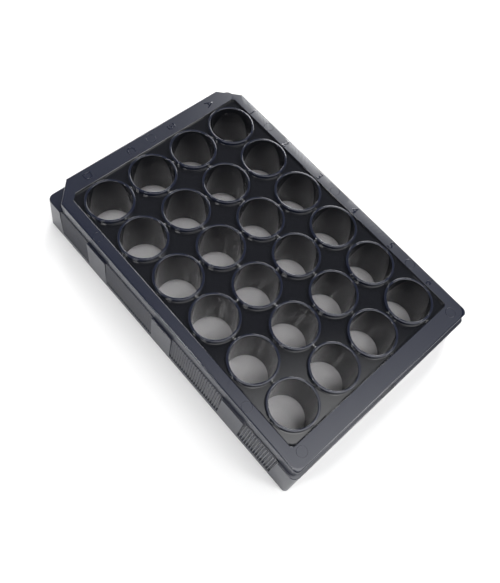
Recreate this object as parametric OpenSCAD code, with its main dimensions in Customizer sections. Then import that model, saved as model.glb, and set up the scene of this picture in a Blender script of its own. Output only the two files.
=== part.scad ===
// Multiwell plate with 4 rows of 6 wells: a one-piece moulded black plate, open
// underneath, and a flat clear bottom bonded to the lower ends of its wells.
// Millimetres. The origin is the centre of the footprint, on the table. +X runs along
// the long side towards column 6, +Y towards row A and +Z up.

/* [Footprint and skirt] */
// Length of the foot along X
foot_l = 127.76; // [124:0.01:140]
// Width of the foot along Y
foot_w = 85.48; // [83:0.01:96]
// Corner radius at the foot
foot_r = 1.4; // [0.8:0.1:4]
// Height of the ledge that ends the skirt
ledge_z = 15.85; // [10:0.05:18]
// How far the skirt leans in between foot and ledge
skirt_lean = 0.7; // [0.3:0.05:1.2]
// Corner radius of the skirt at the ledge
skirt_top_r = 2.6; // [2:0.1:6]
// Radius of the edge round the ledge
ledge_edge_r = 0.25; // [0.1:0.05:0.5]
// Wall of the skirt at the foot
skirt_wall = 1.35; // [1:0.05:1.6]
// Wall of the skirt just under the ledge
skirt_wall_top = 1.75; // [1.5:0.05:2]

/* [Frame] */
// Height of the flat top of the frame
frame_z = 21.4; // [20:0.05:26]
// Width of the ledge at the short sides
ledge_x = 1.25; // [0.8:0.05:2]
// Width of the ledge along the long sides
ledge_y = 0.95; // [0.8:0.05:2]
// Radius of the two frame corners next to column 6
frame_r = 1.8; // [1:0.1:3]
// Radius of the same corners on the flat top of the frame, inside its rounded edge
frame_face_r = 3.5; // [3:0.1:6]
// Leg of the two bevelled frame corners next to column 1
frame_bevel = 7.2; // [4:0.1:10]
// Radius of the top edge of the frame
frame_edge_r = 0.45; // [0.2:0.05:0.8]
// Wall of the frame between ledge and top
frame_wall = 1.2; // [0.9:0.05:1.5]
// Thickness of the frame top
frame_t = 1.5; // [1:0.1:2]

/* [Deck] */
// Depth of the deck below the frame top
deck_drop = 0.8; // [0.4:0.05:2]
// Thickness of the deck
deck_t = 1.3; // [1:0.1:2]
// Gap between the outermost rims and the wall round the deck
rim_gap = 0.75; // [0.5:0.05:1.2]
// Radius of the rounded deck corners
deck_r = 1.2; // [0.6:0.1:2]
// Leg of the small bevel at the deck corner next to well D1
deck_bevel = 2; // [1:0.1:3]
// Leg of the small bevel at the deck corner next to well A1
deck_nick = 0.6; // [0.4:0.1:2]

/* [Wells] */
// Wells in a row
columns = 6; // [2:1:6]
// Rows of wells
rows = 4; // [2:1:4]
// Distance between well centres
pitch = 18.34; // [17.8:0.02:18.8]
// Inner diameter of a well at its rim
well_top_d = 15.5; // [15.1:0.05:15.9]
// Inner diameter of a well at the clear bottom
well_floor_d = 15; // [14:0.05:15.2]
// Width of the flat rim round a well
rim_w = 0.85; // [0.6:0.05:1]
// Height of the rims above the frame top
rim_rise = 0.6; // [0.2:0.05:1]
// Radius of the edges of a rim
rim_edge_r = 0.25; // [0.1:0.05:0.3]
// Wall of a well at the clear bottom
tube_wall = 0.9; // [0.7:0.05:1.2]
// Thickness of the webs that join neighbouring wells
web_w = 1; // [0.6:0.1:2]
// How far the webs stay below the rims
web_drop = 0.2; // [0.1:0.05:0.5]

/* [Clear bottom] */
// Height of the upper face of the clear bottom above the table
well_floor_z = 3.85; // [2:0.05:6]
// Thickness of the clear bottom
sheet_t = 1; // [0.5:0.05:1.8]
// How far the clear bottom reaches past the outer wells
sheet_margin = 1.2; // [0.8:0.1:2]

/* [Grip ribs] */
// Distance between ribs
rib_pitch = 1.05; // [0.8:0.05:1.6]
// Width of the flat crest of a rib, as a share of the distance between ribs
rib_crest_share = 0.35; // [0.2:0.05:0.4]
// Width of the flat ground of a groove, as a share of the distance between ribs
rib_root_share = 0.25; // [0.2:0.05:0.4]
// Depth of the grooves between the ribs
rib_depth = 0.45; // [0.2:0.05:0.6]
// How far the ribs stand back from the smooth skirt at the ledge
rib_setback = 0.4; // [0.2:0.05:0.6]
// Height of the smooth band under the ribs
foot_band = 2; // [1:0.1:5]
// Where each inner rib panel starts, from the middle of the long side
inner_panel_x = 5; // [3:0.1:8]
// Ribs in each inner panel
inner_ribs = 24; // [8:1:28]
// Where each outer rib panel starts, from the middle of the long side
outer_panel_x = 40.1; // [36:0.1:42]
// Ribs in each outer panel
outer_ribs = 15; // [4:1:16]

/* [Notch] */
// Width of the notch in the skirt next to column 6
notch_w = 6.8; // [4:0.1:12]
// Offset of the notch from the middle of the short side, towards row A
notch_y = 1.5; // [-10:0.1:10]

/* [Hidden] */
// How far a cut reaches past the face that it opens
cut = 1;
// How far the grooves between the ribs reach past the ledge
rib_clear = 0.3;
// Depth by which the deck slab stops under the floor of the recess
deck_skin = 0.3;
// Smallest radius that an outline keeps when it is moved inwards
least_r = 0.6;
skirt_top_l = foot_l - 2 * skirt_lean;
skirt_top_w = foot_w - 2 * skirt_lean;
frame_l = skirt_top_l - 2 * ledge_x;
frame_w = skirt_top_w - 2 * ledge_y;
span_x = (columns - 1) * pitch;
span_y = (rows - 1) * pitch;
rim_r = well_top_d / 2 + rim_w;
tube_r = well_floor_d / 2 + tube_wall;
rim_z = frame_z + rim_rise;
deck_z = frame_z - deck_drop;
deck_l = span_x + 2 * (rim_r + rim_gap);
deck_w = span_y + 2 * (rim_r + rim_gap);
sheet_l = span_x + 2 * (tube_r + sheet_margin);
sheet_w = span_y + 2 * (tube_r + sheet_margin);
// The bevel of a shape that lies inward of a bevelled one, at an even wall between them
function inner_bevel(leg, wall) = leg - wall * (2 - sqrt(2));
// Segments of a quarter circle in the outlines
arc_n = 8;
// Angles at which a rounded edge is stepped
edge_steps = [0, 30, 60, 90];

// Points of a quarter circle about c that starts at angle a
function arc(c, r, a, n = arc_n) =
    [for (i = [0 : n]) c + r * [cos(a + 90 * i / n), sin(a + 90 * i / n)]];

// The same number of points along a straight bevel
function bevel(p, q, n = arc_n) = [for (i = [0 : n]) p + (q - p) * i / n];

// Rectangle with four round corners
function round_outline(l, w, r) =
    concat(arc([l / 2 - r, w / 2 - r], r, 0), arc([r - l / 2, w / 2 - r], r, 90),
        arc([r - l / 2, r - w / 2], r, 180), arc([l / 2 - r, r - w / 2], r, 270));

// Rectangle with round +X corners and bevelled -X corners
function bevel_outline(l, w, r, high_bevel, low_bevel) =
    let (x = l / 2, y = w / 2)
        concat(arc([x - r, y - r], r, 0), bevel([high_bevel - x, y], [-x, y - high_bevel]),
            bevel([-x, low_bevel - y], [low_bevel - x, -y]), arc([x - r, r - y], r, 270));

// Outline of the frame, moved inwards by inset, with corners of radius r
function frame_outline(inset, r) =
    let (leg = inner_bevel(frame_bevel, inset))
        bevel_outline(frame_l - 2 * inset, frame_w - 2 * inset, max(r, least_r), leg, leg);

// Outline of the rounded edge at angle a, where the corners widen towards the flat top
function frame_edge_outline(a) =
    let (share = 1 - cos(a))
        frame_outline(frame_edge_r * share, frame_r + (frame_face_r - frame_r) * share);

// Outline of the recess that holds the deck
function deck_outline(margin) =
    bevel_outline(deck_l + 2 * margin, deck_w + 2 * margin, deck_r + margin,
        deck_nick + margin, deck_bevel + margin);

// Solid lofted through outlines of equal length, given as [outline, height] from the foot up
module loft(rings) {
    n = len(rings[0][0]);
    top = len(rings) - 1;
    polyhedron(
        points = [for (ring = rings, p = ring[0]) [p[0], p[1], ring[1]]],
        faces = concat(
            [[for (i = [0 : n - 1]) i]],
            [for (k = [0 : top - 1], i = [0 : n - 1])
                let (a = k * n + i, b = k * n + (i + 1) % n) [a, a + n, b + n]],
            [for (k = [0 : top - 1], i = [0 : n - 1])
                let (a = k * n + i, b = k * n + (i + 1) % n) [a, b + n, b]],
            [[for (i = [n - 1 : -1 : 0]) top * n + i]]));
}

// Outer form: the skirt leans in and its corners open out towards the ledge, and the
// frame stands on the ledge. Both end in rounded edges.
module plate_block() {
    loft(concat(
        [[round_outline(foot_l, foot_w, foot_r), 0]],
        [for (a = edge_steps)
            let (inset = ledge_edge_r * (1 - cos(a)))
                [round_outline(skirt_top_l - 2 * inset, skirt_top_w - 2 * inset, skirt_top_r - inset),
                 ledge_z - ledge_edge_r * (1 - sin(a))]],
        [[frame_outline(0, frame_r), ledge_z]],
        [for (a = edge_steps)
            [frame_edge_outline(a), frame_z - frame_edge_r * (1 - sin(a))]]));
}

// Hollow under the skirt, the frame and the deck, open at the foot
module plate_hollow() {
    inner = frame_outline(frame_wall, frame_face_r - frame_wall);
    loft([
        [round_outline(foot_l - 2 * skirt_wall, foot_w - 2 * skirt_wall, foot_r), -cut],
        [round_outline(skirt_top_l - 2 * skirt_wall_top, skirt_top_w - 2 * skirt_wall_top, foot_r),
         ledge_z - frame_t],
        [inner, ledge_z - frame_t],
        [inner, frame_z - frame_t]]);
}

// Recess in the frame, down to the deck
module deck_recess() {
    translate([0, 0, deck_z])
        linear_extrude(deck_drop + cut)
            polygon(deck_outline(0));
}

// Slab of the deck, which hangs a little below the frame top and carries the wells
module deck_slab() {
    translate([0, 0, deck_z - deck_t])
        linear_extrude(deck_t - deck_skin)
            polygon(deck_outline(frame_wall));
}

module at_wells() {
    for (i = [0 : columns - 1], j = [0 : rows - 1])
        translate([i * pitch - span_x / 2, j * pitch - span_y / 2, 0])
            children();
}

// Outside of one well with its raised rim
module well_tube() {
    rotate_extrude($fn = 96)
        polygon(concat(
            [[0, well_floor_z], [tube_r, well_floor_z], [rim_r, deck_z]],
            arc([rim_r - rim_edge_r, rim_z - rim_edge_r], rim_edge_r, 0, 3),
            [[0, rim_z]]));
}

// Inside of one well, drafted, with a quarter-round lip at the rim
module well_bore() {
    rotate_extrude($fn = 96)
        polygon(concat(
            [[0, well_floor_z - cut], [well_floor_d / 2, well_floor_z - cut],
             [well_floor_d / 2, well_floor_z]],
            [for (a = [180 : -30 : 90])
                [well_top_d / 2 + rim_edge_r, rim_z - rim_edge_r] + rim_edge_r * [cos(a), sin(a)]],
            [[well_top_d / 2 + rim_edge_r, rim_z + cut], [0, rim_z + cut]]));
}

// Webs between neighbouring wells, and short ones from the outer rims to the frame
module webs() {
    reach = rim_r - rim_w / 2;
    gap = pitch - 2 * reach;
    outer_gap = rim_w / 2 + rim_gap + web_drop;
    outer_z = deck_z - deck_t / 2;
    for (i = [0 : columns - 1], j = [0 : rows - 1]) {
        x = i * pitch - span_x / 2;
        y = j * pitch - span_y / 2;
        if (i < columns - 1) web(x + reach + gap / 2, y, gap, web_w, well_floor_z, rim_z);
        if (j < rows - 1) web(x, y + reach + gap / 2, web_w, gap, well_floor_z, rim_z);
    }
    for (i = [0 : columns - 1], s = [-1, 1])
        web(i * pitch - span_x / 2, s * (span_y / 2 + reach + outer_gap / 2),
            web_w, outer_gap, outer_z, frame_z);
    for (j = [0 : rows - 1], s = [-1, 1])
        web(s * (span_x / 2 + reach + outer_gap / 2), j * pitch - span_y / 2,
            outer_gap, web_w, outer_z, frame_z);
}

// One web about [x, y], from low up to web_drop below what it joins
module web(x, y, wide, deep, low, joined_z) {
    translate([x - wide / 2, y - deep / 2, low])
        cube([wide, deep, joined_z - web_drop - low]);
}

// Comb that cuts one panel of ribs into the skirt: its teeth leave the ribs standing
module rib_comb(count) {
    crest = rib_crest_share * rib_pitch;
    root = rib_root_share * rib_pitch;
    flank = (rib_pitch - crest - root) / 2;
    lean = atan((rib_setback + skirt_lean * (ledge_z - foot_band) / ledge_z) / (ledge_z - foot_band));
    face_y = foot_w / 2 - skirt_lean * foot_band / ledge_z;
    translate([0, face_y, foot_band])
        rotate([lean, 0, 0])
            linear_extrude(ledge_z - foot_band + rib_clear)
                polygon(concat(
                    [[0, 2 * cut], [0, 0]],
                    [for (i = [0 : count - 1], k = [0 : 3])
                        [i * rib_pitch + [0, flank, flank + root, rib_pitch - crest][k],
                         [0, -rib_depth, -rib_depth, 0][k]]],
                    [[count * rib_pitch - crest, 2 * cut]]));
}

module rib_combs() {
    for (sx = [0, 1], sy = [0, 1])
        mirror([sx, 0, 0]) mirror([0, sy, 0]) {
            translate([inner_panel_x, 0, 0]) rib_comb(inner_ribs);
            translate([outer_panel_x, 0, 0]) rib_comb(outer_ribs);
        }
}

// Inner wall round the notch, which keeps the skirt closed
module notch_pocket() {
    intersection() {
        translate([frame_l / 2 - frame_wall, notch_y - notch_w / 2 - skirt_wall, 0])
            cube([foot_l, notch_w + 2 * skirt_wall, ledge_z - frame_t / 2]);
        plate_block();
    }
}

module notch_cut() {
    translate([frame_l / 2, notch_y - notch_w / 2, -cut])
        cube([foot_l, notch_w, ledge_z + 2 * cut]);
}

module body() {
    color("#2b2f3d")
        difference() {
            union() {
                difference() {
                    plate_block();
                    plate_hollow();
                    deck_recess();
                    rib_combs();
                }
                deck_slab();
                notch_pocket();
                webs();
                at_wells() well_tube();
            }
            at_wells() well_bore();
            notch_cut();
        }
}

module clear_bottom() {
    color([0.85, 0.88, 0.92, 0.4])
        translate([0, 0, well_floor_z - sheet_t])
            linear_extrude(sheet_t)
                polygon(round_outline(sheet_l, sheet_w, sheet_margin));
}

body();
clear_bottom();
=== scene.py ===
"""Looks of a multiwell plate, built round its packed frame.

The black moulded body is worked out as one closed surface: loops round the plate, a grid
round each well, and a turned profile for each well with its raised rim. Index characters
and ejector marks stand on the frame, and the clear bottom keeps its own solid.
Lengths are metres. +X runs towards column 6, +Y towards row A and +Z up.
"""

import bmesh
import bpy
import numpy as np
from mathutils import Matrix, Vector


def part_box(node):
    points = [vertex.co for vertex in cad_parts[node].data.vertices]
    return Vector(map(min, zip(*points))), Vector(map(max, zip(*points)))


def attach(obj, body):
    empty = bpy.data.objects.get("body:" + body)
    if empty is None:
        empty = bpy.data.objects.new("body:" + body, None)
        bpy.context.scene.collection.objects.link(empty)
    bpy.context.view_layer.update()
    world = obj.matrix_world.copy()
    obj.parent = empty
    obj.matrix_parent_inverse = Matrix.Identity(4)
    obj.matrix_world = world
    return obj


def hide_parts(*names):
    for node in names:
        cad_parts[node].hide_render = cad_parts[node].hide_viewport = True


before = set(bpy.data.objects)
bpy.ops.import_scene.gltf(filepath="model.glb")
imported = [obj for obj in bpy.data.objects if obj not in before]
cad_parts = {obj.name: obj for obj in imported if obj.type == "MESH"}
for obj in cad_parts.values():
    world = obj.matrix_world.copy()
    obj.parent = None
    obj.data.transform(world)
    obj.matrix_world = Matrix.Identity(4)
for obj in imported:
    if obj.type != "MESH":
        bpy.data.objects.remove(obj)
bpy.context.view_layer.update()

bl_info = {
    "name": "Multiwell plate",
    "version": (1, 0, 0),
    "blender": (4, 5, 0),
    "location": "3D View > Sidebar > Plate",
    "description": "Builds a black multiwell plate with a clear bottom, its stage and camera",
    "category": "Object",
}

MM = 0.001
ROOT = "root"
BODY_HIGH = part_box("body")[1]
COLUMNS, ROWS = 6, 4
SHARP_ANGLE = 0.7
WELD = 2e-7
# Segments from the middle of a cell's side to its corner, and of a corner of the plate
SIDE_N = 12
STRAIGHT_N = 8
CORNER_N = 8
# Steps of a rounded edge
EDGE_N = 4
# Stations along one rib, and where its groove lies between them
RIB_N = 6
GROOVE_PLACE = 0.325
# The lamps: name, direction, width in degrees and strength
LAMPS = (("key", (-0.363, 0.708, 0.605), 20, 1.4), ("front", (-0.245, -0.58, 0.774), 8, 0.6),
         ("fill", (0.10, -0.45, 0.88), 12, 0.45), ("left", (-0.80, 0.38, 0.46), 12, 0.6),
         ("right", (0.62, 0.38, 0.69), 14, 0.6))
# Width that is left where two walls would meet
SLIVER = 0.02 * MM
# Half the flat top of a web and the width of its flank, as shares of the web's width
WEB_FLAT, WEB_FLANK = 0.38, 0.3
# Sag of a web to the frame, as a multiple of web_sag times share times one minus share
FRAME_WEB_DIP = 2.5
# How far the webs to the frame stay below its rounded edge
FRAME_WEB_GAP = 0.05 * MM
POLYSTYRENE_IOR = 1.59
# Faces of the index characters under this area are closed up
LEAST_AREA = (0.001 * MM) ** 2
# Rounding of the index characters' edges
LETTER_EDGE = 0.07 * MM


def length(name, description, mm):
    """A length property whose default is given in millimetres."""
    return bpy.props.FloatProperty(
        name=name, description=description, default=mm * MM, unit="LENGTH", precision=5)


def colour(name, description, value):
    """A colour property whose default is an sRGB hex value."""
    return bpy.props.FloatVectorProperty(
        name=name, description=description, default=linear(value), size=3,
        subtype="COLOR", min=0, max=1)


def linear(value):
    """sRGB hex value as linear red, green and blue: the transfer curve of sRGB, undone."""
    srgb = np.array([int(value[i:i + 2], 16) for i in (1, 3, 5)]) / 255
    return tuple(np.where(srgb <= 0.04045, srgb / 12.92, ((srgb + 0.055) / 1.055) ** 2.4))


class PlateSizes(bpy.types.PropertyGroup):
    """Sizes of the moulded body"""

    ledge_height: length("Ledge height", "Height of the ledge over the table", 15.85)
    skirt_lean: length("Skirt lean", "How far the skirt leans in up to the ledge", 0.7)
    foot_corner: length("Foot corner", "Corner radius at the foot", 1.4)
    skirt_corner: length("Skirt corner", "Corner radius of the skirt at the ledge", 2.6)
    foot_edge: length("Foot edge", "Chamfer round the foot", 0.12)
    foot_wall: length("Foot wall", "Wall of the skirt at the foot", 1.35)
    skirt_wall: length("Skirt wall", "Wall of the skirt under the ledge", 1.75)
    ledge_edge: length("Ledge edge", "Radius of the edge round the ledge", 0.25)
    frame_height: length("Frame height", "Height of the frame top", 21.4)
    ledge_short: length("Ledge, short sides", "Width of the ledge at the short sides", 1.25)
    ledge_long: length("Ledge, long sides", "Width of the ledge along the long sides", 0.95)
    frame_corner: length("Frame corner", "Radius of the two round frame corners", 1.8)
    face_corner: length("Face corner", "Radius of those corners on the flat frame top", 3.5)
    frame_bevel: length("Frame bevel", "Leg of the two bevelled frame corners", 7.2)
    frame_edge: length("Frame edge", "Radius of the frame's top edge", 0.45)
    frame_wall: length("Frame wall", "Wall of the frame over the ledge", 1.2)
    frame_top: length("Frame top", "Thickness of the frame top", 1.5)
    deck_drop: length("Deck drop", "Depth of the deck below the frame top", 0.8)
    deck_thickness: length("Deck thickness", "Thickness of the deck", 1.3)
    deck_gap: length("Deck gap", "Gap between the outer rims and the wall round the deck", 0.75)
    deck_corner: length("Deck corner", "Radius of the rounded deck corners", 1.2)
    deck_bevel: length("Deck bevel", "Leg of the bevel at the deck corner of well D1", 2)
    deck_nick: length("Deck nick", "Leg of the bevel at the deck corner of well A1", 0.6)
    deck_edge: length("Deck edge", "Radius of the edge round the deck", 0.3)
    notch_width: length("Notch width", "Width of the notch in the skirt at column 6", 6.8)
    notch_offset: length("Notch offset", "Offset of the notch towards row A", 1.5)


class WellSizes(bpy.types.PropertyGroup):
    """Sizes of the wells and of the webs between them"""

    pitch: length("Pitch", "Distance between well centres", 18.34)
    mouth: length("Mouth", "Inner diameter at the rim", 15.5)
    floor: length("Floor", "Inner diameter at the clear bottom", 15)
    floor_height: length("Floor height", "Height of the wells' floor over the table", 3.85)
    rim_width: length("Rim width", "Width of a rim", 0.85)
    rim_edge: length("Rim edge", "Radius of a rim's edges", 0.25)
    rim_fillet: length("Rim fillet", "Radius where a rim meets the deck", 0.08)
    tube_wall: length("Tube wall", "Wall of a well at the clear bottom", 0.9)
    web_width: length("Web width", "Width of the webs between neighbouring rims", 1)
    web_drop: length("Web drop", "How far the webs stay below the rims", 0.3)
    web_sag: length("Web sag", "How far a web sags between its two ends", 0.17)


class RibSizes(bpy.types.PropertyGroup):
    """Sizes of the grip ribs on the long sides"""

    pitch: length("Rib pitch", "Distance between ribs", 1.05)
    depth: length("Rib depth", "Depth of the grooves between the ribs", 0.45)
    setback: length("Rib setback", "How far the ribs stand back at the ledge", 0.4)
    foot_band: length("Foot band", "Height of the smooth band under the ribs", 2)
    inner_start: length("Inner panels", "Start of the inner panels from the middle", 5)
    outer_start: length("Outer panels", "Start of the outer panels from the middle", 40.1)
    inner_count: bpy.props.IntProperty(
        name="Inner ribs", description="Ribs in each inner panel", default=24, min=2)
    outer_count: bpy.props.IntProperty(
        name="Outer ribs", description="Ribs in each outer panel", default=15, min=2)


class MarkSizes(bpy.types.PropertyGroup):
    """Sizes of the index characters and the ejector marks on the frame"""

    letter_size: length("Letter size", "Height of the raised index characters", 3.1)
    letter_relief: length("Relief", "How far the characters stand out of the frame", 0.12)
    letter_x: length("Letters", "Distance of the row letters from the middle", 58.6)
    digit_y: length("Digits", "Distance of the column numbers from the middle", 38.7)
    mark_radius: length("Ejector radius", "Radius of an ejector mark", 1.75)
    mark_width: length("Ejector ridge", "Width of the ridge round an ejector mark", 0.16)
    mark_relief: length("Ejector relief", "Height of that ridge", 0.05)


class Finishes(bpy.types.PropertyGroup):
    """Colours of the mouldings"""

    plastic: colour("Plastic", "Colour of the black moulding where it is polished", "#1a1b1f")
    matt: colour("Satin", "Colour of the same plastic on its other faces", "#1b1f2e")
    clear: colour("Clear", "Tint of the clear bottom", "#e6e3e6")


class StageSettings(bpy.types.PropertyGroup):
    """Floor, light and camera"""

    floor_colour: colour("Floor", "Colour of the floor", "#fafafa")
    sky: bpy.props.FloatProperty(
        name="Sky", description="Strength of the soft light low down", default=1.0)
    sky_top: bpy.props.FloatProperty(
        name="Sky, high up", description="Strength of the soft light high up", default=0.04)
    glow: bpy.props.FloatProperty(
        name="Glow", description="Strength of the glow over the plate", default=3.9)
    glow_turn: bpy.props.FloatVectorProperty(
        name="Glow direction", description="Where the glow comes from", subtype="DIRECTION",
        default=(0.285, 0.114, 0.952))
    camera_place: bpy.props.FloatVectorProperty(
        name="Camera place", description="Where the camera stands", subtype="TRANSLATION",
        default=(0.055089, -0.085285, 0.199064))
    camera_turn: bpy.props.FloatVectorProperty(
        name="Camera turn", description="Azimuth, elevation and roll of the camera",
        subtype="EULER", default=tuple(np.radians((32.13, 64.20, 17.53))))
    camera_lens: bpy.props.FloatProperty(
        name="Lens", description="Focal length for a 36 mm sensor", default=43.226)


# ---------------------------------------------------------------- loops round the plate

def outline(half_x, half_y, corners, long_x, short_y):
    """One loop round the plate, counterclockwise from the low end of the +X side.

    Each side runs between two tangent points through fixed stations, long_x or short_y,
    drawn together where a corner would reach past them. A corner is a quarter circle of
    the given size, or a straight bevel with that leg. Corners come in the order
    (+X +Y), (-X +Y), (-X -Y), (+X -Y), each as (size, is_round).
    """
    share = np.arange(1, CORNER_N) / CORNER_N

    def side(low, high, stations):
        squeeze = min(1, (min(-low, high) - 10 * SLIVER) / stations[-1])
        return np.concatenate([[low], stations * squeeze, [high]])

    def corner(size, is_round):
        turn = share * np.pi / 2
        if is_round:
            return size * (1 - np.cos(turn)), size * (1 - np.sin(turn))
        return size * share, size * (1 - share)

    (c0, c1, c2, c3) = [size for size, _ in corners]
    bends = [corner(size, is_round) for size, is_round in corners]
    east = side(c3 - half_y, half_y - c0, short_y)
    north = side(c1 - half_x, half_x - c0, long_x)[::-1]
    west = side(c2 - half_y, half_y - c1, short_y)[::-1]
    south = side(c2 - half_x, half_x - c3, long_x)
    x = [half_x + 0 * east, half_x - bends[0][0], north, bends[1][1] - half_x,
         0 * west - half_x, bends[2][0] - half_x, south, half_x - bends[3][1]]
    y = [east, half_y - bends[0][1], half_y + 0 * north, half_y - bends[1][0],
         west, bends[2][1] - half_y, 0 * south - half_y, bends[3][0] - half_y]
    return np.column_stack([np.concatenate(x), np.concatenate(y)])


def side_slices(long_count, short_count):
    """Where the +X, +Y, -X and -Y sides lie in a loop, without their tangent points."""
    bend = CORNER_N - 1
    east = slice(1, short_count + 1)
    north_start = short_count + 2 + bend + 1
    north = slice(north_start, north_start + long_count)
    south_start = 2 * (short_count + 2) + long_count + 2 + 3 * bend + 1
    south = slice(south_start, south_start + long_count)
    return east, north, south


def inner_bevel(leg, wall):
    """Bevel of an outline that lies inward of a bevelled one, at an even wall."""
    return leg - wall * (2 - np.sqrt(2))


def strip(low, high, closed=True):
    """Quads between two runs of vertex numbers of equal length."""
    if closed:
        return np.column_stack([low, np.roll(low, -1), np.roll(high, -1), high])
    return np.column_stack([low[:-1], low[1:], high[1:], high[:-1]])


def perimeter_share(loop):
    """Where each point lies on the way round, from 0 to 4: the point is pushed out to a
    unit square, and its place on the square's edge is read off."""
    unit = loop[:, :2] / np.abs(loop[:, :2]).max(0)
    unit = unit / np.abs(unit).max(1, keepdims=True)
    x, y = unit.T
    place = np.select(
        [x >= 1 - 1e-9, y >= 1 - 1e-9, x <= -1 + 1e-9], [y, 2 - x, 4 - y], 6 + x)
    return np.unwrap((place + 1) * np.pi / 4) * 4 / np.pi


def zipper(first, second, first_share, second_share):
    """Triangles between two loops with different stations: all stations are sorted along
    the way round, and each closes a triangle with the last point of the other loop."""
    start = max(first_share[0], second_share[0]) - 8
    a_share = np.mod(first_share - start, 8)
    b_share = np.mod(second_share - start, 8)
    a_order, b_order = np.argsort(a_share, kind="stable"), np.argsort(b_share, kind="stable")
    a_sorted, b_sorted = a_share[a_order], b_share[b_order]
    a_ids, b_ids = first[a_order], second[b_order]
    a_now = np.searchsorted(a_sorted, b_sorted, side="right") - 1
    b_now = np.searchsorted(b_sorted, a_sorted, side="left") - 1
    from_a = np.column_stack([np.roll(a_ids, 1), a_ids, b_ids[b_now]])
    from_b = np.column_stack([a_ids[a_now], b_ids, np.roll(b_ids, 1)])
    return np.concatenate([from_a, from_b])


class Surface:
    """Collects loops, grids and faces, each face with its finish."""

    def __init__(self):
        self.points, self.faces, self.finish, self.count = [], [], [], 0

    def add(self, points):
        """Adds points as an array of x, y, z and gives their numbers back."""
        self.points.append(points.reshape(-1, 3))
        self.count += len(self.points[-1])
        return np.arange(self.count - len(self.points[-1]), self.count)

    def loop(self, flat, height):
        """Adds one loop at one height, or with a height for each point."""
        return self.add(np.column_stack([flat, np.broadcast_to(height, len(flat))]))

    def face(self, faces, finish):
        self.faces += faces.tolist()
        self.finish += [finish] * len(faces)

    def mesh(self, name):
        """The mesh, with points that fall together welded and flat faces left out."""
        mesh = bpy.data.meshes.new(name)
        mesh.from_pydata(np.concatenate(self.points), [], self.faces)
        mesh.polygons.foreach_set("material_index", np.array(self.finish, np.int32))
        work = bmesh.new()
        work.from_mesh(mesh)
        bmesh.ops.remove_doubles(work, verts=work.verts, dist=WELD)
        work.to_mesh(mesh)
        work.free()
        mesh.validate()
        mesh.update()
        return mesh


SATIN, SMOOTH, POLISHED, RIBBED = range(4)


# ---------------------------------------------------------------- stations

def spread():
    """Places from the middle of a cell's side to its corner, 0 to 1, close together in
    the middle, where the webs are: a line plus a cube."""
    share = np.arange(SIDE_N + 1) / SIDE_N
    return 0.2946 * share + 0.7054 * share ** 3


def deck_stations(count, pitch):
    """Stations along one side of the deck: those of every cell, with the part past the
    last web left to the corner."""
    half = pitch / 2 * spread()
    cell = np.concatenate([-half[:0:-1], half[:-1]])
    first = (1 - count) * pitch / 2
    inner = np.concatenate([first + i * pitch + cell for i in range(1, count - 1)])
    low_end = first + np.concatenate([-half[STRAIGHT_N - 1:0:-1], half[:-1]])
    high_end = -first + np.concatenate([-half[:0:-1], half[:STRAIGHT_N]])
    return np.concatenate([low_end, inner, high_end])


def rib_stations(ribs):
    """Stations along a long side, with the setback and the groove depth at each, from 0
    to 1. The grooves are a raised cosine, and a panel has a step at each end."""
    within = np.arange(RIB_N) / RIB_N
    wave = (1 + np.cos(2 * np.pi * (within - GROOVE_PLACE))) / 2

    def panel(start, count):
        x = (start + (np.arange(count)[:, None] + within) * ribs.pitch).ravel()
        x = np.concatenate([[x[0] - SLIVER], x, [x[-1] + SLIVER]])
        groove = np.concatenate([[0], np.tile(wave, count), [0]])
        setback = np.concatenate([[0], np.ones(RIB_N * count), [0]])
        return np.array([x, setback, groove])

    half = np.concatenate([panel(ribs.inner_start, ribs.inner_count),
                           panel(ribs.outer_start, ribs.outer_count)], axis=1)
    other = half[:, ::-1] * np.array([[-1], [1], [1]])
    return np.concatenate([other, half], axis=1)


def notch_stations(sizes):
    """Stations along a short side, with the depth of the notch outside and of its pocket
    inside at each, from 0 to 1."""
    low = sizes.notch_offset - sizes.notch_width / 2
    high = sizes.notch_offset + sizes.notch_width / 2
    wall = sizes.foot_wall
    y = np.array([-36 * MM, -24 * MM, -12 * MM,
                  low - wall, low - wall + SLIVER, low - SLIVER, low,
                  high, high + SLIVER, high + wall - SLIVER, high + wall,
                  12 * MM, 24 * MM, 36 * MM])
    notch = np.array([0, 0, 0, 0, 0, 0, 1, 1, 0, 0, 0, 0, 0, 0])
    pocket = np.array([0, 0, 0, 0, 1, 1, 1, 1, 1, 1, 0, 0, 0, 0])
    return y, notch, pocket


# ---------------------------------------------------------------- the moulded body

def ribbed_columns(count, north, south, setback):
    """Which quads of a strip round the plate lie in a panel of ribs."""
    inside = (setback[:-1] > 0) & (setback[1:] > 0)
    columns = np.zeros(count, bool)
    columns[south.start:south.stop - 1] = inside
    columns[north.start:north.stop - 1] = inside[::-1]
    return columns


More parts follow.
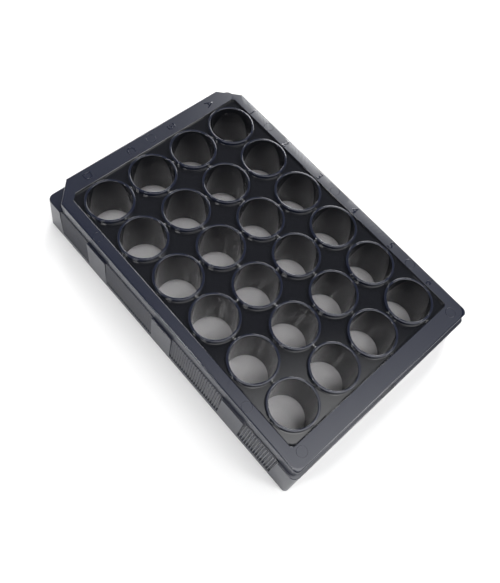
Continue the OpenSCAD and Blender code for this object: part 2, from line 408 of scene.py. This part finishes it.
def shell_loops(surface, sizes, ribs):
    """Outside of the plate from the foot up to the edge of the deck, and inside from the
    foot up to the step under the frame. Gives back the loops at the frame top and at the
    step, each with the places of its points on the way round."""
    half_x, half_y = BODY_HIGH.x, BODY_HIGH.y
    long_x, setback, groove = rib_stations(ribs)
    short_y, notch, pocket = notch_stations(sizes)
    east, north, south = side_slices(len(long_x), len(short_y))
    frame_x = half_x - sizes.skirt_lean - sizes.ledge_short
    frame_y = half_y - sizes.skirt_lean - sizes.ledge_long

    def skirt(height, inset, ribbed):
        rise = height / sizes.ledge_height
        radius = sizes.foot_corner + (sizes.skirt_corner - sizes.foot_corner) * rise - inset
        flat = outline(half_x - sizes.skirt_lean * rise - inset,
                       half_y - sizes.skirt_lean * rise - inset,
                       [(radius, True)] * 4, long_x, short_y)
        if ribbed:
            climb = (height - ribs.foot_band) / (sizes.ledge_height - ribs.foot_band)
            depth = setback * ribs.setback * climb + groove * ribs.depth
            depth = np.minimum(depth, sizes.ledge_long - SLIVER - inset)
            flat[south, 1] += depth
            flat[north, 1] -= depth[::-1]
        flat[east, 0] = np.where(notch > 0, frame_x + SLIVER, flat[east, 0])
        return flat

    rows = [(sizes.foot_edge, 0, False), (0, sizes.foot_edge, False)]
    rows += [(0, ribs.foot_band, False), (0, ribs.foot_band, True),
             (0, sizes.ledge_height / 2, True)]
    turns = np.linspace(0, np.pi / 2, EDGE_N + 1)
    rows += [(sizes.ledge_edge * (1 - np.cos(t)),
              sizes.ledge_height - sizes.ledge_edge * (1 - np.sin(t)), True) for t in turns]
    outer = [surface.loop(skirt(height, inset, ribbed), height)
             for inset, height, ribbed in rows]

    def frame_loop(inset):
        leg = inner_bevel(sizes.frame_bevel, inset)
        radius = sizes.frame_corner + (sizes.face_corner - sizes.frame_corner) * (
            inset / sizes.frame_edge)
        return outline(frame_x - inset, frame_y - inset,
                       [(radius, True), (leg, False), (leg, False), (radius, True)],
                       long_x, short_y)

    outer.append(surface.loop(frame_loop(0), sizes.ledge_height))
    outer += [surface.loop(frame_loop(sizes.frame_edge * (1 - np.cos(t))),
                           sizes.frame_height - sizes.frame_edge * (1 - np.sin(t)))
              for t in turns]
    # flat faces are satin, the rounded edges smooth, and the panels ribbed above the foot band
    in_panel = ribbed_columns(len(outer[0]), north, south, setback)
    skirt_n = len(rows) - EDGE_N - 1
    plain = [SATIN] * skirt_n + [SMOOTH] * EDGE_N + [SATIN] * 2 + [SMOOTH] * EDGE_N
    ribbed_rows = [row[2] for row in rows[1:]] + [False] * (EDGE_N + 2)
    for low, high, finish, ribbed in zip(outer, outer[1:], plain, ribbed_rows):
        quads = strip(low, high)
        surface.face(quads[~in_panel], finish)
        surface.face(quads[in_panel], RIBBED if ribbed else finish)

    def inner(wall, lean, height):
        """One loop inside the skirt, and where its points lie without the pocket."""
        flat = outline(half_x - lean - wall, half_y - lean - wall,
                       [(sizes.foot_corner, True)] * 4, long_x, short_y)
        places = perimeter_share(flat)
        flat[east, 0] = np.where(pocket > 0, frame_x - sizes.frame_wall + SLIVER,
                                 flat[east, 0])
        return surface.loop(flat, height), places

    step_loop, step_share = inner(sizes.skirt_wall, sizes.skirt_lean,
                                  sizes.ledge_height - sizes.frame_top)
    foot_loop, _ = inner(sizes.foot_wall, 0, 0)
    surface.face(strip(step_loop, foot_loop), SATIN)
    surface.face(strip(foot_loop, outer[0]), SATIN)
    return outer[-1], perimeter_share(frame_loop(sizes.frame_edge)), step_loop, step_share


def deck_corners(sizes, margin):
    """Corners of the outline of the deck, moved out by a margin."""
    round_corner = (sizes.deck_corner + margin, True)
    return [round_corner, (sizes.deck_nick + margin, False),
            (sizes.deck_bevel + margin, False), round_corner]


def web_height(x, y, wells, heights):
    """Height of the webs over the deck at places measured from a well's centre: a ridge
    along each of the four directions, flat on top and rounded down to the deck.
    heights are for +X, +Y, -X and -Y."""
    along_x = np.abs(x) >= np.abs(y)
    across = np.where(along_x, np.abs(y), np.abs(x))
    top = np.where(along_x, np.where(x > 0, heights[0], heights[2]),
                   np.where(y > 0, heights[1], heights[3]))
    fall = np.clip((across / wells.web_width - WEB_FLAT) / WEB_FLANK, 0, 1)
    return top * (1 + np.cos(np.pi * fall)) / 2


def cell_edge(sides, corners, pitch):
    """Edge of one well's cell, 96 points counterclockwise from the +X axis.

    sides are the distances to the +X, +Y, -X and -Y sides. A quarter whose corner is
    None runs to a plain corner, and any other through the rounded or bevelled corner of
    the deck with the stations of the loops round the plate."""
    place = spread()
    share = np.arange(CORNER_N) / CORNER_N
    quarters = []
    for k in range(4):
        ahead, across = sides[k], sides[(k + 1) % 4]
        if corners[k] is None:
            u = np.concatenate([np.full(SIDE_N, ahead), ahead * place[:0:-1]])
            v = np.concatenate([across * place[:-1], np.full(SIDE_N, across)])
        else:
            size, is_round = corners[k]
            run = pitch / 2 * place[:STRAIGHT_N]
            turn = share * np.pi / 2
            bend_u = size * (1 - np.cos(turn)) if is_round else size * share
            bend_v = size * (1 - np.sin(turn)) if is_round else size * (1 - share)
            u = np.concatenate([np.full(STRAIGHT_N, ahead), ahead - bend_u,
                                [ahead - size], run[:0:-1]])
            v = np.concatenate([run, across - bend_v, [across], np.full(STRAIGHT_N - 1, across)])
        # a quarter is turned to its place by swapping and flipping its two directions
        x, y = [(u, v), (-v, u), (-u, -v), (v, -u)][k]
        quarters.append(np.column_stack([x, y]))
    return np.concatenate(quarters)


def well_angles():
    """Angles of the 96 points round a well, close together at the webs: in each eighth
    of a turn the angle is a line plus a cube."""
    share = np.arange(SIDE_N + 1) / SIDE_N
    eighth = np.pi / 4 * (0.4 * share + 0.6 * share ** 3)
    quarter = np.concatenate([eighth[:-1], np.pi / 2 - eighth[:0:-1]])
    return np.concatenate([quarter + k * np.pi / 2 for k in range(4)])


def wells_and_deck(surface, sizes, wells):
    """Deck, underside of the deck and wells, one cell after another. Each cell is a grid
    from its edge to the well, and the well is its profile carried round its axis."""
    rim_radius = wells.mouth / 2 + wells.rim_width
    rim_top = BODY_HIGH.z
    deck_z = sizes.frame_height - sizes.deck_drop
    under_z = deck_z - sizes.deck_thickness
    half = wells.pitch / 2
    outside = rim_radius + sizes.deck_gap
    angles = well_angles()
    round_x, round_y = np.cos(angles), np.sin(angles)
    inner_web = rim_top - wells.web_drop - deck_z
    outer_web = sizes.deck_drop - sizes.deck_edge - FRAME_WEB_GAP
    turns = np.linspace(0, np.pi / 2, EDGE_N + 1)
    edge, fillet = wells.rim_edge, wells.rim_fillet
    edge_z = rim_top - edge

    # profile from the rim's outer edge over the rim, down the bore and up the tube
    profile = [(rim_radius - edge + edge * np.cos(t), edge_z + edge * np.sin(t), SMOOTH)
               for t in turns]
    profile += [(wells.mouth / 2 + edge - edge * np.sin(t), edge_z + edge * np.cos(t), SMOOTH)
                for t in turns[:3]]
    profile += [(wells.mouth / 2 + edge - edge * np.sin(t), edge_z + edge * np.cos(t), POLISHED)
                for t in turns[3:]]
    profile += [(wells.mouth / 2 + (wells.floor - wells.mouth) / 2 * s,
                 edge_z + (wells.floor_height - edge_z) * s, POLISHED) for s in (0.33, 0.66, 1)]
    tube = wells.floor / 2 + wells.tube_wall
    under_radius = tube + (rim_radius - tube) * (under_z - wells.floor_height) / (
        deck_z - wells.floor_height)
    profile += [(tube, wells.floor_height, SATIN), (under_radius, under_z, SATIN)]

    for row in range(ROWS):
        for column in range(COLUMNS):
            centre = np.array([(column - (COLUMNS - 1) / 2) * wells.pitch,
                               (row - (ROWS - 1) / 2) * wells.pitch])
            at_end = [column == COLUMNS - 1, row == ROWS - 1, column == 0, row == 0]
            corner_here = [at_end[k] and at_end[(k + 1) % 4] for k in range(4)]
            webs = [outer_web if end else inner_web for end in at_end]

            def edge_of_cell(margin):
                sides = [outside + margin if end else half for end in at_end]
                bends = [corner if here else None for corner, here in
                         zip(deck_corners(sizes, margin), corner_here)]
                return cell_edge(sides, bends, wells.pitch)

            def place(flat, height):
                return surface.loop(flat + centre, height)

            # deck from the cell's edge to the fillet round the rim
            far = edge_of_cell(-fillet)
            near = (rim_radius + fillet) * np.column_stack([round_x, round_y])
            loops = []
            for share in (0, 0.25, 0.5, 0.75, 0.9, 1):
                flat = far + (near - far) * share
                sag = wells.web_sag * (1 - share ** 2)
                dip = wells.web_sag * FRAME_WEB_DIP * share * (1 - share)
                ridge = [h - (dip if end else sag) for h, end in zip(webs, at_end)]
                ground = deck_z + web_height(flat[:, 0], flat[:, 1], wells, ridge)
                loops.append(place(flat, ground))
            room = np.minimum(fillet, 0.7 * (edge_z - ground))
            for turn in turns[1::2].tolist() + [np.pi / 2]:
                radius = rim_radius + fillet * (1 - np.sin(turn))
                loops.append(place(radius * np.column_stack([round_x, round_y]),
                                   ground + room * (1 - np.cos(turn))))
            for low, high in zip(loops, loops[1:]):
                surface.face(strip(low, high), POLISHED)
            last = loops[-1]
            for radius, height, finish in profile:
                ring = place(radius * np.column_stack([round_x, round_y]), height)
                surface.face(strip(last, ring), finish)
                last = ring
            under = place(edge_of_cell(sizes.frame_wall), under_z)
            surface.face(strip(last, under), SATIN)


def deck_wall(surface, sizes, wells, top_loop, top_share, step_loop, step_share):
    """Rounded edge and wall round the deck, the frame top outside them, and the inside
    of the frame."""
    long_x = deck_stations(COLUMNS, wells.pitch)
    short_y = deck_stations(ROWS, wells.pitch)
    rim_radius = wells.mouth / 2 + wells.rim_width
    half_x = (COLUMNS - 1) / 2 * wells.pitch + rim_radius + sizes.deck_gap
    half_y = (ROWS - 1) / 2 * wells.pitch + rim_radius + sizes.deck_gap
    deck_z = sizes.frame_height - sizes.deck_drop
    edge, fillet = sizes.deck_edge, wells.rim_fillet

    def deck_loop(margin):
        return outline(half_x + margin, half_y + margin, deck_corners(sizes, margin),
                       long_x, short_y)

    def ground(flat):
        """Height at the deck's edge: the deck, or the top of a web to the frame."""
        centres_x = np.round(flat[:, 0] / wells.pitch - 0.5).clip(-3, 2) + 0.5
        centres_y = np.round(flat[:, 1] / wells.pitch - 0.5).clip(-2, 1) + 0.5
        web = sizes.deck_drop - edge - FRAME_WEB_GAP
        return deck_z + web_height(flat[:, 0] - centres_x * wells.pitch,
                                   flat[:, 1] - centres_y * wells.pitch, wells, [web] * 4)

    turns = np.linspace(0, np.pi / 2, EDGE_N + 1)
    wall_top = sizes.frame_height - edge
    low = ground(deck_loop(-fillet))
    room = np.minimum(fillet, 0.7 * (wall_top - low))
    loops = [surface.loop(deck_loop(edge * (1 - np.sin(t))),
                          wall_top + edge * np.cos(t)) for t in turns]
    loops += [surface.loop(deck_loop(-fillet * (1 - np.cos(t))), low + room * (1 - np.sin(t)))
              for t in (0, np.pi / 4, np.pi / 2)]
    rim_flat = deck_loop(edge)
    surface.face(zipper(top_loop, loops[0], top_share, perimeter_share(rim_flat)), SATIN)
    for upper, lower in zip(loops, loops[1:]):
        surface.face(strip(upper, lower), SMOOTH if upper is loops[0] else POLISHED)

    # inside of the frame, from the slab of the deck to the step behind the skirt
    frame_x = BODY_HIGH.x - sizes.skirt_lean - sizes.ledge_short - sizes.frame_wall
    frame_y = BODY_HIGH.y - sizes.skirt_lean - sizes.ledge_long - sizes.frame_wall
    leg = inner_bevel(sizes.frame_bevel, sizes.frame_wall)
    radius = sizes.face_corner - sizes.frame_wall
    inner_flat = outline(frame_x, frame_y,
                         [(radius, True), (leg, False), (leg, False), (radius, True)],
                         long_x, short_y)
    under_frame = sizes.frame_height - sizes.frame_top
    inside = [surface.loop(deck_loop(sizes.frame_wall), deck_z - sizes.deck_thickness),
              surface.loop(deck_loop(sizes.frame_wall), under_frame),
              surface.loop(inner_flat, under_frame),
              surface.loop(inner_flat, sizes.ledge_height - sizes.frame_top)]
    for first, second in zip(inside, inside[1:]):
        surface.face(strip(first, second), SATIN)
    surface.face(zipper(inside[-1], step_loop, perimeter_share(inner_flat), step_share), SATIN)


def hidden_webs(surface, sizes, wells):
    """Webs under the deck, closed bars whose ends lie inside the walls of two wells."""
    half_gap = wells.pitch / 2 - wells.mouth / 2 - wells.rim_width + 0.45 * MM
    low, high = wells.floor_height, sizes.frame_height - sizes.deck_drop - 0.5 * MM
    corner = np.array([[x, y, z] for z in (low, high) for x, y in
                       ((-1, -1), (1, -1), (1, 1), (-1, 1))])
    quads = np.array([[3, 2, 1, 0], [4, 5, 6, 7], [0, 1, 5, 4], [1, 2, 6, 5],
                      [2, 3, 7, 6], [3, 0, 4, 7]])
    thick = wells.web_width / 2
    spans = [(column + 0.5, row, half_gap, thick)
             for row in range(ROWS) for column in range(COLUMNS - 1)]
    spans += [(column, row + 0.5, thick, half_gap)
              for row in range(ROWS - 1) for column in range(COLUMNS)]
    for column, row, wide, deep in spans:
        centre = [(column - (COLUMNS - 1) / 2) * wells.pitch,
                  (row - (ROWS - 1) / 2) * wells.pitch, 0]
        ids = surface.add(corner * [wide, deep, 1] + centre)
        surface.face(ids[quads], SATIN)


# ---------------------------------------------------------------- finishes

def add_node(tree, kind, values=None, links=None, **settings):
    """Adds one node, with its settings, its input values and the sockets that feed it."""
    node = tree.nodes.new(kind)
    for name, value in settings.items():
        setattr(node, name, value)
    for name, value in (values or {}).items():
        node.inputs[name].default_value = value
    for name, source in (links or {}).items():
        tree.links.new(source, node.inputs[name])
    return node


def new_material(name):
    """An empty node material with its output node."""
    material = bpy.data.materials.new(name)
    material.use_nodes = True
    material.node_tree.nodes.clear()
    output = add_node(material.node_tree, "ShaderNodeOutputMaterial")
    return material, material.node_tree, output


def opaque_polystyrene(name, tint, roughness, grain_mm, relief_mm, cloud):
    """Black polystyrene, near-black with a blue cast.

    Satin faces have a fine grain, which spreads the highlight, and polished ones mirror
    with a slight waviness. cloud is the share by which the tone drifts over some 20 mm."""
    material, tree, output = new_material(name)
    place = add_node(tree, "ShaderNodeTexCoord").outputs["Object"]
    drift = add_node(tree, "ShaderNodeTexNoise", {"Scale": 1 / (20 * MM), "Detail": 2.0},
                     {"Vector": place})
    tone = add_node(tree, "ShaderNodeMapRange",
                    {"To Min": 1 - cloud, "To Max": 1 + cloud},
                    {"Value": drift.outputs["Fac"]})
    shade = add_node(tree, "ShaderNodeVectorMath", {0: tint}, {1: tone.outputs["Result"]},
                     operation="MULTIPLY")
    grain = add_node(tree, "ShaderNodeTexNoise",
                     {"Scale": 1 / (grain_mm * MM), "Detail": 3.0, "Roughness": 0.6},
                     {"Vector": place})
    gloss = add_node(tree, "ShaderNodeMapRange",
                     {"To Min": roughness * 0.85, "To Max": roughness * 1.15},
                     {"Value": grain.outputs["Fac"]})
    bump = add_node(tree, "ShaderNodeBump", {"Strength": 1.0, "Distance": relief_mm * MM},
                    {"Height": grain.outputs["Fac"]})
    shader = add_node(tree, "ShaderNodeBsdfPrincipled",
                      {"IOR": POLYSTYRENE_IOR},
                      {"Base Color": shade.outputs["Vector"],
                       "Roughness": gloss.outputs["Result"], "Normal": bump.outputs["Normal"]})
    tree.links.new(shader.outputs["BSDF"], output.inputs["Surface"])
    return material


def clear_polystyrene(name, tint):
    """Clear polystyrene sheet: most light goes through, a faint uneven haze gives the grey
    veil over the wells, and its faces are polished."""
    material, tree, output = new_material(name)
    place = add_node(tree, "ShaderNodeTexCoord").outputs["Object"]
    haze = add_node(tree, "ShaderNodeTexNoise", {"Scale": 1 / (9 * MM), "Detail": 3.0},
                    {"Vector": place})
    veil = add_node(tree, "ShaderNodeMapRange", {"To Min": 0.16, "To Max": 0.26},
                    {"Value": haze.outputs["Fac"]})
    bump = add_node(tree, "ShaderNodeBump", {"Strength": 0.2, "Distance": 0.004 * MM},
                    {"Height": haze.outputs["Fac"]})
    shader = add_node(tree, "ShaderNodeBsdfPrincipled",
                      {"Base Color": (*tint, 1), "Roughness": 0.08, "IOR": POLYSTYRENE_IOR},
                      {"Alpha": veil.outputs["Result"], "Normal": bump.outputs["Normal"]})
    tree.links.new(shader.outputs["BSDF"], output.inputs["Surface"])
    return material


def finishes():
    """The opaque finishes in the order of their numbers, made once and then reused."""
    tints = bpy.context.scene.plate_finishes
    made = []
    for name, tint, roughness, grain, relief, cloud in (
            ("moulded_polystyrene_satin", tints.matt, 0.30, 0.5, 0.003, 0.06),
            ("moulded_polystyrene_smooth", tints.matt, 0.09, 2.0, 0.002, 0.06),
            ("moulded_polystyrene_polished", tints.plastic, 0.05, 6.0, 0.002, 0.04),
            ("moulded_polystyrene_ribbed", tints.matt, 0.13, 0.4, 0.004, 0.08)):
        made.append(bpy.data.materials.get(name) or opaque_polystyrene(
            name, tuple(tint), roughness, grain, relief, cloud))
    return made


def finished_piece(name, mesh, materials, replaced=()):
    """Links a mesh as a piece that rides on the plate, shades it smooth with sharp edges kept,
    and hides the CAD nodes it stands for."""
    piece = bpy.data.objects.new(name, mesh)
    bpy.context.scene.collection.objects.link(piece)
    for material in materials:
        mesh.materials.append(material)
    mesh.shade_smooth()
    mesh.set_sharp_from_angle(angle=SHARP_ANGLE)
    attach(piece, ROOT)
    if replaced:
        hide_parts(*replaced)
    return piece


# ---------------------------------------------------------------- operators

class PLATE_OT_body(bpy.types.Operator):
    """Builds the moulded black body in place of its plain solid"""

    bl_idname = "plate.body"
    bl_label = "Moulded body"

    def execute(self, context):
        scene = context.scene
        surface = Surface()
        top = shell_loops(surface, scene.plate_sizes, scene.plate_ribs)
        wells_and_deck(surface, scene.plate_sizes, scene.plate_wells)
        deck_wall(surface, scene.plate_sizes, scene.plate_wells, *top)
        hidden_webs(surface, scene.plate_sizes, scene.plate_wells)
        piece = finished_piece("plate_body", surface.mesh("plate_body"), finishes(), ["body"])
        weights = piece.modifiers.new("even_flats", "WEIGHTED_NORMAL")
        weights.keep_sharp = True
        return {"FINISHED"}


class PLATE_OT_index_marks(bpy.types.Operator):
    """Raises the row letters and column numbers on the frame"""

    bl_idname = "plate.index_marks"
    bl_label = "Index characters"

    def execute(self, context):
        marks, wells = context.scene.plate_marks, context.scene.plate_wells
        sizes = context.scene.plate_sizes
        places = [("DCBA"[row], -marks.letter_x, (row - (ROWS - 1) / 2) * wells.pitch)
                  for row in range(ROWS)]
        places += [(str(column + 1), (column - (COLUMNS - 1) / 2) * wells.pitch, marks.digit_y)
                   for column in range(COLUMNS)]
        work = bmesh.new()
        for character, x, y in places:
            text = bpy.data.curves.new("character", "FONT")
            text.body = character
            text.size = marks.letter_size / 0.7
            text.align_x, text.align_y = "CENTER", "CENTER"
            text.offset = -0.04 * marks.letter_size / 3
            text.extrude = marks.letter_relief
            text.bevel_depth = LETTER_EDGE
            text.bevel_resolution = 2
            text.resolution_u = 6
            holder = bpy.data.objects.new("character", text)
            context.scene.collection.objects.link(holder)
            context.view_layer.update()
            mesh = bpy.data.meshes.new_from_object(
                holder.evaluated_get(context.evaluated_depsgraph_get()))
            mesh.transform(Matrix.Translation((x, y, sizes.frame_height - LETTER_EDGE)))
            work.from_mesh(mesh)
            bpy.data.objects.remove(holder)
            bpy.data.curves.remove(text)
            bpy.data.meshes.remove(mesh)
        bmesh.ops.remove_doubles(work, verts=work.verts, dist=WELD)
        bmesh.ops.dissolve_degenerate(work, edges=work.edges, dist=50 * WELD)
        while flat := [face for face in work.faces if face.calc_area() < LEAST_AREA]:
            shortest = min(flat[0].edges, key=lambda edge: edge.calc_length())
            bmesh.ops.collapse(work, edges=[shortest])
        bmesh.ops.recalc_face_normals(work, faces=work.faces)
        mesh = bpy.data.meshes.new("index_marks")
        work.to_mesh(mesh)
        work.free()
        finished_piece("index_marks", mesh, [finishes()[SMOOTH]])
        return {"FINISHED"}


class PLATE_OT_ejector_marks(bpy.types.Operator):
    """Lays the round witness marks of the ejector pins on the frame"""

    bl_idname = "plate.ejector_marks"
    bl_label = "Ejector marks"

    def execute(self, context):
        marks, sizes = context.scene.plate_marks, context.scene.plate_sizes
        places = MM * np.array([
            (58.1, 36.0), (57.9, -35.3), (-58.6, 0), (-37, 38.9), (-1, 38.8), (36.7, 38.8),
            (-36.9, -38.95), (37.3, -38.95)])
        surface = Surface()
        angles = np.linspace(0, 2 * np.pi, 48, endpoint=False)
        circle = np.column_stack([np.cos(angles), np.sin(angles)])
        # the ridge is half an ellipse, closed under the frame's surface
        section = [(1, -1), (1, 0), (0.7, 0.7), (0, 1), (-0.7, 0.7), (-1, 0), (-1, -1)]
        for place in places:
            rings = [surface.loop(place + circle * (marks.mark_radius + u * marks.mark_width / 2),
                                  sizes.frame_height + v * marks.mark_relief)
                     for u, v in section]
            for first, second in zip(rings, rings[1:] + rings[:1]):
                surface.face(strip(first, second), 0)
        finished_piece("ejector_marks", surface.mesh("ejector_marks"), [finishes()[SMOOTH]])
        return {"FINISHED"}


class PLATE_OT_clear_bottom(bpy.types.Operator):
    """Gives the clear bottom its finish"""

    bl_idname = "plate.clear_bottom"
    bl_label = "Clear bottom"

    def execute(self, context):
        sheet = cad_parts["clear_bottom"]
        sheet.data.materials.clear()
        sheet.data.materials.append(clear_polystyrene(
            "clear_cast_polystyrene", tuple(context.scene.plate_finishes.clear)))
        return {"FINISHED"}


class PLATE_OT_stage(bpy.types.Operator):
    """Sets up the floor, the light and the camera"""

    bl_idname = "plate.stage"
    bl_label = "Stage, light and camera"

    def execute(self, context):
        settings = context.scene.plate_stage
        self.floor(context, settings)
        self.sky(context, settings)
        for name, toward, width, strength in LAMPS:
            self.lamp(context, name, toward, width, strength)
        self.camera(context, settings)
        context.scene.view_settings.view_transform = "Standard"
        return {"FINISHED"}

    def floor(self, context, settings):
        """A wide plain floor that keeps the shadow of the plate."""
        reach = 4.0
        mesh = bpy.data.meshes.new("floor")
        mesh.from_pydata([(-reach, -reach, 0), (reach, -reach, 0), (reach, reach, 0),
                          (-reach, reach, 0)], [], [(0, 1, 2, 3)])
        floor = bpy.data.objects.new("floor", mesh)
        context.scene.collection.objects.link(floor)
        material, tree, output = new_material("matt_paper")
        shader = add_node(tree, "ShaderNodeBsdfDiffuse",
                          {"Color": (*settings.floor_colour, 1), "Roughness": 0.5})
        tree.links.new(shader.outputs["BSDF"], output.inputs["Surface"])
        mesh.materials.append(material)

    def sky(self, context, settings):
        """Soft light from all round, white low down and dim higher up, with a wide glow
        near the zenith as from a soft box over the plate."""
        world = bpy.data.worlds.new("studio")
        world.use_nodes = True
        tree = world.node_tree
        tree.nodes.clear()
        place = add_node(tree, "ShaderNodeTexCoord").outputs["Generated"]
        height = add_node(tree, "ShaderNodeSeparateXYZ", links={0: place}).outputs["Z"]
        tent = add_node(tree, "ShaderNodeMapRange",
                        {"From Min": 0.15, "From Max": 0.6, "To Min": settings.sky,
                         "To Max": settings.sky_top},
                        {"Value": height}, interpolation_type="SMOOTHSTEP")
        toward = add_node(tree, "ShaderNodeVectorMath", {1: settings.glow_turn}, {0: place},
                          operation="DOT_PRODUCT").outputs["Value"]
        glow = add_node(tree, "ShaderNodeMapRange",
                        {"From Min": 0.87, "From Max": 0.99, "To Min": 0.0,
                         "To Max": settings.glow},
                        {"Value": toward}, interpolation_type="SMOOTHSTEP")
        both = add_node(tree, "ShaderNodeMath", links={
            0: tent.outputs["Result"], 1: glow.outputs["Result"]}, operation="ADD")
        light = add_node(tree, "ShaderNodeBackground", {"Color": (1, 1, 1, 1)},
                         {"Strength": both.outputs[0]})
        output = add_node(tree, "ShaderNodeOutputWorld",
                          links={"Surface": light.outputs[0]})
        output.is_active_output = True
        context.scene.world = world

    def lamp(self, context, name, toward, width, strength):
        """A soft lamp far away in the direction toward, width degrees across."""
        light = bpy.data.lights.new(name, "SUN")
        light.angle, light.energy = np.radians(width), strength
        holder = bpy.data.objects.new(name, light)
        context.scene.collection.objects.link(holder)
        back = np.array(toward) / np.linalg.norm(toward)
        side = np.cross([0, 0, 1], back)
        side = side / np.linalg.norm(side)
        matrix = np.eye(4)
        matrix[:3, :3] = np.column_stack([side, np.cross(back, side), back])
        matrix[:3, 3] = back
        holder.matrix_world = Matrix(matrix.tolist())

    def camera(self, context, settings):
        """The camera looks down at an azimuth and an elevation, rolled about its axis."""
        azimuth, elevation, roll = settings.camera_turn
        level = np.array([np.cos(azimuth), np.sin(azimuth), 0])
        forward = np.array([-np.sin(azimuth) * np.cos(elevation),
                            np.cos(azimuth) * np.cos(elevation), -np.sin(elevation)])
        upright = np.cross(level, forward)
        right = np.cos(roll) * level + np.sin(roll) * upright
        matrix = np.eye(4)
        matrix[:3, :3] = np.column_stack([right, np.cross(right, forward), -forward])
        matrix[:3, 3] = settings.camera_place
        lens = bpy.data.cameras.new("camera")
        lens.sensor_fit, lens.sensor_width, lens.lens = "HORIZONTAL", 36, settings.camera_lens
        lens.clip_start = 0.01
        holder = bpy.data.objects.new("camera", lens)
        context.scene.collection.objects.link(holder)
        holder.matrix_world = Matrix(matrix.tolist())
        context.scene.camera = holder


class PLATE_PT_panel(bpy.types.Panel):
    """Lists the builders and the sizes of the plate"""

    bl_idname = "PLATE_PT_panel"
    bl_label = "Multiwell plate"
    bl_space_type = "VIEW_3D"
    bl_region_type = "UI"
    bl_category = "Plate"

    def draw(self, context):
        for operator in OPERATORS:
            self.layout.operator(operator.bl_idname)
        for holder in GROUPS:
            group = getattr(context.scene, holder)
            box = self.layout.box()
            box.label(text=GROUPS[holder].__doc__)
            for name in GROUPS[holder].__annotations__:
                box.prop(group, name)


OPERATORS = (PLATE_OT_stage, PLATE_OT_body, PLATE_OT_index_marks, PLATE_OT_ejector_marks,
             PLATE_OT_clear_bottom)
GROUPS = {"plate_sizes": PlateSizes, "plate_wells": WellSizes, "plate_ribs": RibSizes,
          "plate_marks": MarkSizes, "plate_finishes": Finishes, "plate_stage": StageSettings}


def register():
    for each in (*GROUPS.values(), *OPERATORS, PLATE_PT_panel):
        bpy.utils.register_class(each)
    for holder, group in GROUPS.items():
        setattr(bpy.types.Scene, holder, bpy.props.PointerProperty(type=group))


def unregister():
    for holder in GROUPS:
        delattr(bpy.types.Scene, holder)
    for each in (PLATE_PT_panel, *OPERATORS[::-1], *list(GROUPS.values())[::-1]):
        bpy.utils.unregister_class(each)


def main():
    register()
    for operator in OPERATORS:
        group, name = operator.bl_idname.split(".")
        getattr(getattr(bpy.ops, group), name)()


if __name__ == "__main__":
    main()
